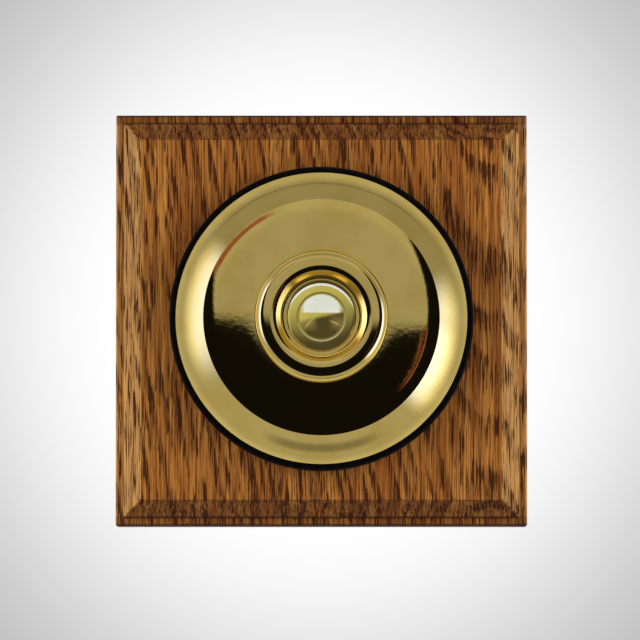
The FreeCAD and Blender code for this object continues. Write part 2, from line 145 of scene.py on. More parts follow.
def share(label, text, value):
    """A share that a user can set, usually from 0 to 1."""
    return FloatProperty(
        name=label, description=text, default=value, min=0, soft_max=1, subtype="FACTOR")


def number(label, text, value):
    """A plain number that a user can set."""
    return FloatProperty(name=label, description=text, default=value)


# What a user would change

class PlateShape(bpy.types.PropertyGroup):
    """Sizes of the oak plate's moulded edge and holes."""
    ledge_width: length("Ledge", "Width of the flat step along the plate's edge", 1.8)
    ledge_round: length("Ledge round", "Rounding of the step's outer edge", 0.7)
    quirk: length("Quirk", "Height of the small riser at the foot of the bevel", 0.5)
    bevel_width: length("Bevel width", "Width of the bevel, seen from the front", 4.0)
    bevel_height: length("Bevel height", "How far the bevel rises", 3.0)
    arris: length("Arris", "Rounding that sanding leaves on an edge", 0.16)
    corner: length("Corner", "Rounding of the plate's upright corners", 0.35)
    cable_hole: length("Cable hole", "Radius of the hole for the cables", 22.5)
    screw_spacing: length("Screw spacing", "Distance between the two wall screws", 60.3)
    screw_hole: length("Screw hole", "Radius of a wall screw's hole", 2.1)
    head_hole: length("Head hole", "Radius of the sinking for a wall screw's head", 3.6)
    head_depth: length("Head depth", "Depth of that sinking", 4.0)
    pilot_hole: length("Pilot hole", "Radius of the hole for a screw of the base", 1.55)
    pilot_depth: length("Pilot depth", "Depth of that hole from the face", 8.55)
    pilot_point: length("Pilot point", "Length of its pointed end", 2.05)
    pilot_offset: length("Pilot offset", "Distance of that hole above or below the axis", 25.8)


class DomeShape(bpy.types.PropertyGroup):
    """Sizes of the dome's section."""
    wall: length("Wall", "Thickness of the spun brass", 0.9)
    roll_width: length("Roll width", "Width of the steep roll inside the rim", 6.2)
    shoulder_width: length("Shoulder width", "Width of the shoulder inside the crease", 2.9)
    seat_margin: length("Seat margin", "Flat that shows around the retaining ring", 0.6)
    bore: length("Bore", "Radius of the hole for the bush", 11.7)
    roll_rim_tilt: slope("Roll at rim", "Tilt of the roll where it meets the rim", 47)
    roll_crease_tilt: slope("Roll at crease", "Tilt of the roll where it meets the crease", 30)
    shoulder_tilt: slope("Shoulder", "Tilt of the shoulder at the crease", 20)
    crown_rim_tilt: slope("Crown edge", "Tilt of the crown where the shoulder ends", 9)
    crown_seat_tilt: slope("Crown seat", "Tilt of the crown at the retaining ring", 3)


class ButtonShape(bpy.types.PropertyGroup):
    """Sizes of the retaining ring, the bush and the button."""
    ring_bore: length("Ring bore", "Radius of the ring's thread", 11.45)
    ring_relief: length("Ring relief", "How far the ring's top edge stands clear of the bush", 0.005)
    ring_thread: length("Ring thread", "Height of the ring's thread", 2.4)
    ring_fall: length("Ring fall", "How far the ring's top falls towards its outer edge", 0.23)
    ring_round: length("Ring round", "Rounding of the ring's outer edge", 2.4)
    bush_radius: length("Bush", "Radius of the bush", 11.4)
    bush_crest_radius: length("Bush crest", "Radius of the bush's highest circle", 11.2)
    funnel_depth: length("Funnel depth", "Depth of the funnel down to the button", 3.4)
    mouth_radius: length("Mouth", "Radius where the funnel's rounded mouth ends", 10.05)
    mouth_tilt: slope("Mouth tilt", "Tilt of the funnel where its mouth ends", 25.6)
    cone_radius: length("Cone", "Radius at the bottom of the funnel's cone", 9.07)
    cone_tilt: slope("Cone tilt", "Tilt of that cone", 47.6)
    bush_land: length("Bush land", "Radius at the bottom of the funnel", 8.4)
    bush_bore: length("Bush bore", "Radius of the hole that guides the button", 7.9)
    lip_gap: length("Lip gap", "Play around the button's lip", 0.2)
    button_radius: length("Button", "Radius of the button", 7.7)
    brow_width: length("Brow width", "Width of the curve from the button's face to its edge", 0.85)
    brow_tilt: slope("Brow tilt", "Tilt of that curve at the button's edge", 17)
    button_wall: length("Button wall", "Thickness of the button's skirt", 1.5)
    lip_height: length("Lip height", "Thickness of the lip that stops the button", 1.2)
    nub_radius: length("Nub", "Radius of the raised middle of the button", 4.9)
    nub_height: length("Nub height", "How far the middle is raised", 1.1)
    groove_width: length("Groove width", "Width of the groove around the middle", 0.55)
    groove_depth: length("Groove depth", "Depth of that groove", 0.35)
    crowning: slope("Crowning", "Tilt of the face between the groove and that curve", 3)
    arris: length("Arris", "Rounding of the turned edges", 0.1)


class SpringShape(bpy.types.PropertyGroup):
    """Sizes of the two coil springs."""
    return_wire: length("Return wire", "Radius of the return spring's wire", 0.35)
    return_turns: number("Return turns", "Turns of the return spring", 4.5)
    contact_wire: length("Contact wire", "Radius of the contact spring's wire", 0.2)
    contact_turns: number("Contact turns", "Turns of the contact spring", 3.5)


class OakLook(bpy.types.PropertyGroup):
    """Colours and figure of the stained oak."""
    late: colour("Latewood", "Dense wood between the pores", display(198, 132, 58))
    early: colour("Earlywood", "Wood of the porous bands", display(116, 62, 20))
    red: colour("Red stain", "Warmer patches of the stain", display(172, 103, 40))
    pore: colour("Pores", "Stain that fills the pores", display(46, 15, 2))
    # This colour is a painted sheen: the plate's sideways faces and side ledges are blended towards it in
    # place of the side lamps' light on them
    pale: colour("Pale grain", "Fibres that shine on the side bevels", display(222, 184, 116))
    ring_spacing: length("Growth", "Width of one year's growth", 2.5)
    heart_x: number("Heart across", "Place of the tree's heart, right of the axis, in millimetres", 38.0)
    heart_y: number("Heart depth", "Place of the heart behind the wall, in millimetres", 1.0)
    taper: number("Taper", "How far the growth rings widen for each millimetre up", 0.2)
    roughness: share("Roughness", "Roughness of the waxed surface", 0.5)
    pore_depth: length("Pore depth", "Depth of the open pores", 0.05)


class BrassLook(bpy.types.PropertyGroup):
    """Polish of the brass."""
    colour: colour("Brass", "Colour of the polished brass", (0.88, 0.665, 0.20))
    roughness: share("Roughness", "Roughness of the polish", 0.05)
    ripple: length("Ripple", "Height of the faint ripple in the dome's lacquer", 0.006)
    ripple_size: length("Ripple size", "Width of one ripple", 1.1)
    turning: length("Turning marks", "Height of the faint marks on the turned pieces", 0.0006)


class FittingsLook(bpy.types.PropertyGroup):
    """Colours of the mouldings and of the metal inside."""
    black: colour("Black moulding", "Colour of the black moulding", (0.0018, 0.0014, 0.001))
    black_mottle: colour("Black mottle", "Lighter flecks in it", (0.0034, 0.0026, 0.002))
    brown: colour("Brown moulding", "Colour of the brown mouldings", display(74, 40, 22))
    brown_mottle: colour("Brown mottle", "Darker flecks in them", display(44, 22, 13))
    steel: colour("Spring steel", "Colour of the springs and the stem clip", (0.46, 0.46, 0.48))
    zinc: colour("Zinc", "Colour of the screws and the cover plate", (0.60, 0.61, 0.63))
    terminal: colour("Terminal brass", "Colour of the terminals", (0.74, 0.56, 0.22))
    copper: colour("Copper", "Colour of the contact bridge", (0.83, 0.42, 0.25))
    silver: colour("Silver", "Colour of the contact tips", (0.88, 0.87, 0.83))


class StudioLook(bpy.types.PropertyGroup):
    """Camera, lamps and what the polished metal mirrors."""
    azimuth: slope("Azimuth", "How far the camera stands to the right", 0)
    elevation: slope("Elevation", "How far the camera stands above the switch", -3)
    distance: length("Distance", "Distance of the camera", 1600)
    frame_width: length("Frame", "Width of what the picture shows at the plate's face", 142.9)
    aim_x: number("Aim across", "Where the camera points, right of the axis, in metres", -0.00032)
    aim_z: number("Aim up", "Where the camera points, above the axis, in metres", -0.00011)
    lamp_level: number("Side lamps", "Brightness of each side lamp", 3.9)
    fill_level: number("Fill level", "Light from all round the front", 0.4)
    back_level: number("Back level", "Light from all round the back", 0.75)
    card_level: number("Front card", "Brightness of the card over the camera", 0.41)
    dark_level: number("Dark", "Brightness of the dark room below the card", 0.006)
    box_level: number("Soft boxes", "Brightness of the two soft boxes", 2.5)
    box_colour: colour("Soft box colour", "Cool colour of the two soft boxes", (0.34, 0.42, 1.0))
    box_rim: colour("Soft box rim", "Colour of their outer edges", (0.42, 0.44, 0.56))
    flare: colour("Flare", "Bright inner edge of the boxes, which the funnel mirrors", (0.4, 1.0, 7.5))
    button_level: number("Button card level", "Brightness of the white card that the button mirrors", 3.75)
    button_card: colour("Button card", "Cool colour of that card", (0.23, 0.32, 1.0))
    button_room: colour("Button room", "Colour of the room just below that card", (0.6, 0.67, 0.5))
    streak: colour("Streaks", "Colour of the two warm streaks", (0.31, 0.12, 0.10))
    backdrop_edge: share("Backdrop edge", "Brightness of the backdrop away from its middle", 0.53)


class SwitchLook(bpy.types.PropertyGroup):
    """All the settings of the switch."""
    plate: PointerProperty(type=PlateShape, name="Plate", description="Oak plate")
    dome: PointerProperty(type=DomeShape, name="Dome", description="Brass dome")
    button: PointerProperty(type=ButtonShape, name="Button", description="Ring, bush and button")
    springs: PointerProperty(type=SpringShape, name="Springs", description="Coil springs")
    oak: PointerProperty(type=OakLook, name="Oak", description="Stained oak")
    brass: PointerProperty(type=BrassLook, name="Brass", description="Polished brass")
    fittings: PointerProperty(type=FittingsLook, name="Fittings", description="Mouldings and inner metal")
    studio: PointerProperty(type=StudioLook, name="Studio", description="Camera and light")


# Shader nodes as expressions

class Wire:
    """An output socket that takes part in arithmetic and adds the nodes for it."""

    def __init__(self, tree, socket):
        self.tree = tree
        self.socket = socket

    def combine(self, operation, first, second):
        """An operation on two values, vectors or colours."""
        ends = [end.socket.type for end in (first, second) if isinstance(end, Wire)]
        if "RGBA" in ends:
            settings = {"data_type": "RGBA", "blend_type": operation}
            inputs = {MIX_AMOUNT: 1.0, MIX_FIRST: first, MIX_SECOND: second}
            return self.tree.node("ShaderNodeMix", settings, inputs, MIX_RESULT)
        kind = "ShaderNodeVectorMath" if "VECTOR" in ends else "ShaderNodeMath"
        return self.tree.node(kind, {"operation": operation}, {0: first, 1: second})

    def __add__(self, other):
        return self.combine("ADD", self, other)

    def __radd__(self, other):
        return self.combine("ADD", other, self)

    def __sub__(self, other):
        return self.combine("SUBTRACT", self, other)

    def __rsub__(self, other):
        return self.combine("SUBTRACT", other, self)

    def __mul__(self, other):
        return self.combine("MULTIPLY", self, other)

    def __rmul__(self, other):
        return self.combine("MULTIPLY", other, self)

    def __truediv__(self, other):
        return self.combine("DIVIDE", self, other)

    def __rtruediv__(self, other):
        return self.combine("DIVIDE", other, self)

    def __abs__(self):
        return self.apply("ABSOLUTE")

    def apply(self, operation, other=0.0):
        """An operation that Python has no sign for."""
        return self.combine(operation, self, other)

    def ease(self, low, high):
        """0 below low, 1 above high and smooth between, or the other way round if low is above high."""
        settings = {"interpolation_type": "SMOOTHSTEP"}
        inputs = {"Value": self, "From Min": low, "From Max": high}
        return self.tree.node("ShaderNodeMapRange", settings, inputs)

    def within(self, low, high, soft):
        """1 between low and high, with soft edges."""
        return self.ease(low - soft, low + soft) * self.ease(high + soft, high - soft)

    def split(self):
        """The three parts of a vector."""
        return [self.tree.node("ShaderNodeSeparateXYZ", {}, {0: self}, axis) for axis in range(3)]


class Tree:
    """The nodes of one material, or of the world."""

    def __init__(self, owner):
        owner.use_nodes = True
        self.nodes = owner.node_tree.nodes
        self.links = owner.node_tree.links
        self.nodes.clear()

    def node(self, kind, settings, inputs, output=0):
        """Adds a node, makes its settings, fills its sockets and gives one of its outputs."""
        made = self.nodes.new(kind)
        for name, value in settings.items():
            setattr(made, name, value)
        for name, value in inputs.items():
            if isinstance(value, Wire):
                self.links.new(value.socket, made.inputs[name])
            else:
                made.inputs[name].default_value = value
        return Wire(self, made.outputs[output]) if made.outputs else None

    def noise(self, place, detail=2.0, roughness=0.5):
        """Smooth noise with features about one unit wide."""
        inputs = {"Vector": place, "Scale": 1.0, "Detail": detail, "Roughness": roughness}
        return self.node("ShaderNodeTexNoise", {}, inputs)

    def blend(self, amount, first, second):
        """From the first colour to the second as the amount goes from 0 to 1."""
        ends = [end if isinstance(end, Wire) else (*end, 1.0) for end in (first, second)]
        inputs = {MIX_AMOUNT: amount, MIX_FIRST: ends[0], MIX_SECOND: ends[1]}
        return self.node("ShaderNodeMix", {"data_type": "RGBA"}, inputs, MIX_RESULT)

    def vector(self, x, y, z):
        return self.node("ShaderNodeCombineXYZ", {}, {0: x, 1: y, 2: z})


class Finish(Tree):
    """A material with one surface shader."""

    def __init__(self, name):
        self.material = bpy.data.materials.new(name)
        super().__init__(self.material)

    def place(self):
        """The place on the piece, in millimetres."""
        return self.node("ShaderNodeTexCoord", {}, {}, "Object") * ((1 / MM,) * 3)

    def bump(self, height, depth):
        return self.node("ShaderNodeBump", {}, {"Height": height, "Distance": depth})

    def surface(self, **sockets):
        inputs = {name.replace("_", " "): value for name, value in sockets.items()}
        shader = self.node("ShaderNodeBsdfPrincipled", {}, inputs)
        self.node("ShaderNodeOutputMaterial", {"target": "ALL"}, {"Surface": shader})
        return self.material


# Meshes

def arc_points(centre, start, end):
    """Points along the shorter arc about a centre."""
    radius = (start - centre).length
    first = math.atan2(start.y - centre.y, start.x - centre.x)
    last = math.atan2(end.y - centre.y, end.x - centre.x)
    turn = (last - first + math.pi) % FULL_TURN - math.pi
    steps = max(2, math.ceil(abs(turn) / ARC_STEP))
    angles = [first + turn * step / steps for step in range(steps + 1)]
    return [centre + radius * Vector((math.cos(angle), math.sin(angle))) for angle in angles]


def rounded(*corners):
    """Points of an outline through corners, each (radius, out) or (radius, out, rounding)."""
    points = []
    for index, (radius, out, *rounding) in enumerate(corners):
        corner = Vector((radius, out))
        if not rounding:
            points.append(corner)
            continue
        back = (Vector(corners[index - 1][:2]) - corner).normalized()
        ahead = (Vector(corners[(index + 1) % len(corners)][:2]) - corner).normalized()
        half = back.angle(ahead) / 2
        reach = rounding[0] / math.tan(half)
        centre = corner + (back + ahead).normalized() * (rounding[0] / math.sin(half))
        points += arc_points(centre, corner + back * reach, corner + ahead * reach)
    return points


def piece(name, points, faces, crease):
    """A smooth mesh piece with hard edges where its faces turn by more than the crease."""
    mesh = bpy.data.meshes.new(name)
    mesh.from_pydata(points, [], faces)
    shape = bmesh.new()
    shape.from_mesh(mesh)
    bmesh.ops.recalc_face_normals(shape, faces=shape.faces)
    shape.to_mesh(mesh)
    shape.free()
    mesh.shade_smooth()
    mesh.set_sharp_from_angle(angle=crease)
    made = bpy.data.objects.new(name, mesh)
    bpy.context.scene.collection.objects.link(made)
    return made


def turned(name, outline, crease=TURNED_CREASE):
    """A piece turned about the button's axis from the closed outline of its half section."""
    points, faces, rings = [], [], []
    for radius, out in outline:
        first = len(points)
        count = TURN_SEGMENTS if radius > 0 else 1
        for step in range(count):
            angle = FULL_TURN * step / count
            points.append((radius * math.cos(angle), -out, radius * math.sin(angle)))
        rings.append([first + step % count for step in range(TURN_SEGMENTS + 1)])
    for ring, following in zip(rings, rings[1:] + rings[:1]):
        for step in range(TURN_SEGMENTS):
            corners = (ring[step], ring[step + 1], following[step + 1], following[step])
            distinct = tuple(dict.fromkeys(corners))
            if len(distinct) > 2:
                faces.append(distinct)
    return piece(name, points, faces, crease)


def tilted_arc(start, start_tilt, end_radius, end_tilt):
    """Points of a convex arc that starts at a point and leans back from the wall by these tilts."""
    radius = (start.x - end_radius) / (math.sin(start_tilt) - math.sin(end_tilt))
    centre = start - radius * Vector((math.sin(start_tilt), math.cos(start_tilt)))
    end = centre + radius * Vector((math.sin(end_tilt), math.cos(end_tilt)))
    steps = math.ceil(abs(start_tilt - end_tilt) / CROWN_STEP)
    tilts = [start_tilt + (end_tilt - start_tilt) * step / steps for step in range(steps)]
    return [centre + radius * Vector((math.sin(tilt), math.cos(tilt))) for tilt in tilts] + [end]


def coil(name, node, wire, turns):
    """A compression spring that fills the length of a node, wound about the button's axis."""
    outer, bottom, top = span(node)
    winding = outer - wire
    rise = top - bottom - 2 * wire
    steps = round(turns * COIL_STEPS)
    points, faces = [], []
    for step in range(steps + 1):
        angle = FULL_TURN * step / COIL_STEPS
        out = bottom + wire + rise * step / steps
        for side in range(WIRE_SIDES):
            around = FULL_TURN * side / WIRE_SIDES
            radius = winding + wire * math.cos(around)
            level = out + wire * math.sin(around)
            points.append((radius * math.cos(angle), -level, radius * math.sin(angle)))
    for step in range(steps):
        for side in range(WIRE_SIDES):
            turn = (side + 1) % WIRE_SIDES
            here, ahead = step * WIRE_SIDES, (step + 1) * WIRE_SIDES
            faces.append((here + side, here + turn, ahead + turn, ahead + side))
    faces.append(tuple(range(WIRE_SIDES)))
    faces.append(tuple(range(steps * WIRE_SIDES, (steps + 1) * WIRE_SIDES)))
    return piece(name, points, faces, COIL_CREASE)


class Slab:
    """A flat board in the making: its moulded edge, its holes and its two faces."""

    def __init__(self):
        self.shape = bmesh.new()
        self.front = []
        self.back = []

    def ring(self, flat_points, out):
        return [self.shape.verts.new((x, -out, z)) for x, z in flat_points]

    def skin(self, rings):
        """Walls between rings, from the board's back to its front or from the front into it."""
        for near, far in zip(rings, rings[1:]):
            for step in range(len(near)):
                corners = (near[step - 1], near[step], far[step], far[step - 1])
                self.shape.faces.new(tuple(dict.fromkeys(corners)))

    def loop(self, ring):
        return [self.shape.edges.get((ring[step - 1], ring[step])) for step in range(len(ring))]

    def edge(self, profile, corner):
        """The outer edge, from (half width, out) points."""
        rings = []
        for half, out in profile:
            inner = half - corner
            flat = []
            for quarter, (sign_x, sign_z) in enumerate(CORNERS):
                for step in range(CORNER_STEPS + 1):
                    angle = FULL_TURN / len(CORNERS) * (quarter + step / CORNER_STEPS)
                    x = sign_x * inner + corner * math.cos(angle)
                    z = sign_z * inner + corner * math.sin(angle)
                    flat.append((x, z))
            rings.append(self.ring(flat, out))
        self.skin(rings)
        self.back += self.loop(rings[0])
        self.front += self.loop(rings[-1])

    def hole(self, profile, x=0.0, z=0.0, through=True):
        """A round hole from (radius, out) points, from the front face inwards."""
        rings = []
        for radius, out in profile:
            angles = [FULL_TURN * step / HOLE_SEGMENTS for step in range(HOLE_SEGMENTS)]
            flat = [(x + radius * math.cos(angle), z + radius * math.sin(angle)) for angle in angles]
            rings.append(self.ring(flat, out))
        self.skin(rings)
        self.front += self.loop(rings[0])
        if through:
            self.back += self.loop(rings[-1])
        else:
            self.shape.faces.new(rings[-1])

    def finish(self, name, crease):
        for edges in (self.front, self.back):
            bmesh.ops.triangle_fill(self.shape, use_beauty=True, edges=edges)
        mesh = bpy.data.meshes.new(name)
        self.shape.to_mesh(mesh)
        self.shape.free()
        points = [vertex.co[:] for vertex in mesh.vertices]
        faces = [tuple(face.vertices) for face in mesh.polygons]
        bpy.data.meshes.remove(mesh)
        return piece(name, points, faces, crease)


# Finishes

# How often each feature of the oak comes in a millimetre across, into and along the board
SWAY_RATE = (0.03, 0.03, 0.012)
QUIVER_RATE = (0.22, 0.22, 0.035)
BAND_RATE = (0.35, 0.12, 0.04)
VESSEL_RATE = (3.1, 0.9, 0.15)
LINE_RATE = (4.6, 1.2, 0.06)
FIBRE_RATE = (2.1, 0.6, 0.03)
CLOUD_RATE = (0.3, 0.1, 0.02)
STRAY_RATE, STRAY_RATE_ALONG = 0.16, 0.01

# How much more closely the grain comes into the board on its sides
SIDE_CROWDING = 2.4

# How far the grain strays, in millimetres, and the growth rings, in years
SWAY, QUIVER = 3.0, 0.8
RING_STRAY, RING_QUIVER = 2.2, 0.5

# From where to where each feature sets in: leaning is the share of a surface's normal that points
# sideways or up, early is a share of the year, and the ledge is in millimetres from the bevel's foot
LEANING = (0.2, 0.65)
EARLY_STARTS, EARLY_ENDS = (0.0, 0.2), (0.85, 0.35)
BANDS, CLOUDS, FIBRES = (0.28, 0.6), (0.35, 0.68), (0.42, 0.6)
VESSELS, LINES = (0.57, 0.67), (0.52, 0.65)
LEDGE = (-0.5, -0.1)

# How strongly each feature shows
BAND_VESSELS, LINE_SHARE = 0.15, 0.68
FIBRE_TINT, BAND_TINT, PORE_TINT = 0.8, 0.4, 0.88
# Painted sheen: how far the sideways faces and the side ledges are blended towards the pale colour
PAINTED_SIDE_SHEEN, PAINTED_SIDE_LEDGE_SHEEN = 0.33, 0.12
# Darker ends: partly stain soaked up by the end grain and partly painted shade; the top and bottom ledges
# get painted shade
END_GRAIN_AND_PAINTED_SHADE, PAINTED_LEDGE_SHADE = 0.52, 0.4
PORE_ROUGHNESS, FIBRE_ROUGHNESS = 0.2, 0.08
FIBRE_DEPTH = 0.2
WAX_GLOSS = 0.16


def oak_finish(look, bevel_foot):
    """Stained oak as a solid figure, so that the bevels and ends show their own grain. The sides carry a
    painted sheen, and the ends and the top and bottom ledges carry painted shade besides their darker end
    grain.
    """
    wood = Finish("stained_oak")
    place = wood.place()
    x, y, z = place.split()
    sway = wood.noise(place * SWAY_RATE) - 0.5
    quiver = wood.noise(place * QUIVER_RATE) - 0.5
    across = x + sway * SWAY + quiver * QUIVER
    facing = wood.node("ShaderNodeNewGeometry", {}, {}, "True Normal").split()
    side, end = abs(facing[0]).ease(*LEANING), abs(facing[2]).ease(*LEANING)
    grain = wood.vector(across, y * (1 + side * SIDE_CROWDING), z)

    from_heart = across - look.heart_x
    depth = y - look.heart_y
    reach = (from_heart * from_heart + depth * depth).apply("SQRT") - z * look.taper
    stray = wood.noise(wood.vector(reach * STRAY_RATE, 0.0, z * STRAY_RATE_ALONG), detail=1.0) - 0.5
    year = reach / (look.ring_spacing / MM) + stray * RING_STRAY + quiver * RING_QUIVER
    year = year.apply("FRACT")
    early = year.ease(*EARLY_STARTS) * year.ease(*EARLY_ENDS)
    porous = early * wood.noise(grain * BAND_RATE).ease(*BANDS)
    vessels = wood.noise(grain * VESSEL_RATE, detail=2.0, roughness=0.55) + porous * BAND_VESSELS
    lines = wood.noise(grain * LINE_RATE, detail=2.0, roughness=0.6).ease(*LINES)
    dark = vessels.ease(*VESSELS).apply("MAXIMUM", lines * LINE_SHARE)
    fibre = wood.noise(grain * FIBRE_RATE, detail=3.0, roughness=0.65)
    cloud = wood.noise(grain * CLOUD_RATE)

    body = wood.blend(cloud.ease(*CLOUDS), look.late, look.red)
    body = wood.blend(fibre.ease(*FIBRES) * FIBRE_TINT, body, look.early)
    body = wood.blend(porous * BAND_TINT, body, look.early)
    body = wood.blend(dark * PORE_TINT, body, look.pore)
    ledge = [bevel_foot / MM + shift for shift in LEDGE]
    side_ledge, end_ledge = abs(x).ease(*ledge), abs(z).ease(*ledge)
    # Painted sheen: sideways faces and side ledges made paler, as the side lamps would light them, except
    # in the pores
    shine = (side * PAINTED_SIDE_SHEEN + side_ledge * PAINTED_SIDE_LEDGE_SHEEN) * (1 - dark)
    body = wood.blend(shine, body, look.pale)
    # The ends darken towards the pore colour, partly as stained end grain and partly as painted shade, and
    # the top and bottom ledges get painted shade
    body = wood.blend(end * END_GRAIN_AND_PAINTED_SHADE + end_ledge * PAINTED_LEDGE_SHADE, body, look.pore)
    roughness = look.roughness + dark * PORE_ROUGHNESS + fibre * FIBRE_ROUGHNESS
    height = wood.bump(1 - dark - fibre * FIBRE_DEPTH, look.pore_depth)
    return wood.surface(
        Base_Color=body, Roughness=roughness, Specular_IOR_Level=WAX_GLOSS, Normal=height)


# Where the brass is darker from handling, and how rough it is there, as a share of its roughness
HANDLING_RATE = (0.12, 0.12, 0.12)
HANDLED, HANDLED_SHADE = (0.4, 0.7), (0.93, 0.9, 0.8)
LEAST_ROUGH, ROUGH_RANGE = 0.75, 0.5


def brass_finish(name, look, ripple, roughness):
    """Polished brass with a faint ripple and a slightly uneven tone."""
    brass = Finish(name)
    place = brass.place()
    wave = brass.noise(place * ((MM / look.ripple_size,) * 3), detail=1.0)
    handling = brass.noise(place * HANDLING_RATE, detail=3.0)
    deep = tuple(part * shade for part, shade in zip(look.colour, HANDLED_SHADE))
    body = brass.blend(handling.ease(*HANDLED), look.colour, deep)
    uneven = roughness * (LEAST_ROUGH + handling * ROUGH_RANGE) if roughness else 0.0
    return brass.surface(
        Base_Color=body, Metallic=1.0, Roughness=uneven, Normal=brass.bump(wave, ripple))


def turned_brass(look):
    """The brass finish that the ring and the bush share."""
    made = bpy.data.materials.get("turned_brass")
    return made or brass_finish("turned_brass", look, look.turning, look.roughness)


# The mottle and the mould's texture on a moulding
MOTTLE_RATE, TEXTURE_RATE = (0.5, 0.5, 0.5), (4.0, 4.0, 4.0)
MOTTLED, MOTTLE_ROUGHNESS = (0.35, 0.7), 0.15
TEXTURE_DEPTH = 0.006 * MM


def moulding_finish(name, base, mottle, roughness, gloss):
    """Thermoset moulding with a faint mottle and the fine texture of its mould."""
    moulding = Finish(name)
    place = moulding.place()
    cloud = moulding.noise(place * MOTTLE_RATE, detail=3.0)
    texture = moulding.noise(place * TEXTURE_RATE, detail=2.0)
    body = moulding.blend(cloud.ease(*MOTTLED), base, mottle)
    return moulding.surface(
        Base_Color=body, Roughness=roughness + cloud * MOTTLE_ROUGHNESS, Specular_IOR_Level=gloss,
        Normal=moulding.bump(texture, TEXTURE_DEPTH))


# Tarnish and tool marks on bare metal
TARNISH_RATE, MARK_RATE = (0.6, 0.6, 0.6), (0.8, 12.0, 0.8)
TARNISHED, TARNISH_SHADE = (0.4, 0.75), 0.72
DULLED, DULLED_ROUGHNESS = (0.45, 0.8), 0.12
LEAST_MARKED, MARKED_RANGE = 0.8, 0.4
MARK_DEPTH = 0.004 * MM


def metal_finish(name, base, roughness):
    """Bare metal with tool marks across the axis and a little tarnish."""
    metal = Finish(name)
    place = metal.place()
    tarnish = metal.noise(place * TARNISH_RATE, detail=3.0)
    marks = metal.noise(place * MARK_RATE, detail=2.0)
    dull = tuple(part * TARNISH_SHADE for part in base)
    body = metal.blend(tarnish.ease(*TARNISHED), base, dull)
    uneven = roughness * (LEAST_MARKED + marks * MARKED_RANGE) + tarnish.ease(*DULLED) * DULLED_ROUGHNESS
    return metal.surface(
        Base_Color=body, Metallic=1.0, Roughness=uneven, Normal=metal.bump(marks, MARK_DEPTH))


def dress(made, material, body, node):
    """A new piece stands for a node: it has its finish, rides on its body, and the node is hidden."""
    made.data.materials.append(material)
    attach(made, body)
    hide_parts(node)


def refinish(material, *nodes):
    """Nodes that keep their own shape get a finish."""
    for node in nodes:
        frame["nodes"][node].material_slots[0].material = material


# One operator for each piece or group of like pieces

class SWITCH_OT_oak_plate(bpy.types.Operator):
    """Make the bevelled oak plate with its holes"""
    bl_idname = "switch.oak_plate"
    bl_label = "Oak plate"

    def execute(self, context):
        look = context.scene.push_switch
        plate = look.plate
        soft = plate.arris
        bevel_foot = PLATE_HALF - plate.ledge_width
        face_half = bevel_foot - plate.bevel_width
        bevel_out = PLATE_FACE - plate.bevel_height
        ledge_out = bevel_out - plate.quirk
        slab = Slab()
        profile = rounded(
            (PLATE_HALF - 2 * soft, 0.0), (PLATE_HALF, 0.0, soft),
            (PLATE_HALF, ledge_out, plate.ledge_round), (bevel_foot, ledge_out, soft / 2),
            (bevel_foot, bevel_out, soft), (face_half, PLATE_FACE, soft),
            (face_half - 2 * soft, PLATE_FACE))
        slab.edge(profile, plate.corner)
        cable, screw, head, pilot = plate.cable_hole, plate.screw_hole, plate.head_hole, plate.pilot_hole
        seat = PLATE_FACE - plate.head_depth
        bottom = PLATE_FACE - plate.pilot_depth
        cable_side = [
            (cable + soft, PLATE_FACE), (cable, PLATE_FACE - soft), (cable, soft), (cable + soft, 0.0)]
        screw_side = [(head, PLATE_FACE), (head, seat), (screw, seat), (screw, soft), (screw + soft, 0.0)]
        pilot_side = [(pilot, PLATE_FACE), (pilot, bottom + plate.pilot_point), (soft / 2, bottom)]
        slab.hole(cable_side)
        for side in (-1, 1):
            slab.hole(screw_side, x=side * plate.screw_spacing / 2)
            slab.hole(pilot_side, z=side * plate.pilot_offset, through=False)
        board = slab.finish("bevelled_oak_plate", BOARD_CREASE)
        normals = board.modifiers.new("Flat faces", "WEIGHTED_NORMAL")
        normals.weight = FACE_WEIGHT
        normals.keep_sharp = True
        dress(board, oak_finish(look.oak, bevel_foot), "wall_unit", "oak_plate")
        return {"FINISHED"}


class SWITCH_OT_moulded_base(bpy.types.Operator):
    """Finish the black moulded base and the brown mouldings of the plunger"""
    bl_idname = "switch.moulded_base"
    bl_label = "Moulded base and plunger"

    def execute(self, context):
        look = context.scene.push_switch.fittings
        black = moulding_finish("black_phenolic", look.black, look.black_mottle, roughness=0.4, gloss=0.08)
        brown = moulding_finish("brown_phenolic", look.brown, look.brown_mottle, roughness=0.35, gloss=0.5)
        refinish(black, "mounting_base")
        refinish(brown, "plunger", "plunger_guide")
        return {"FINISHED"}


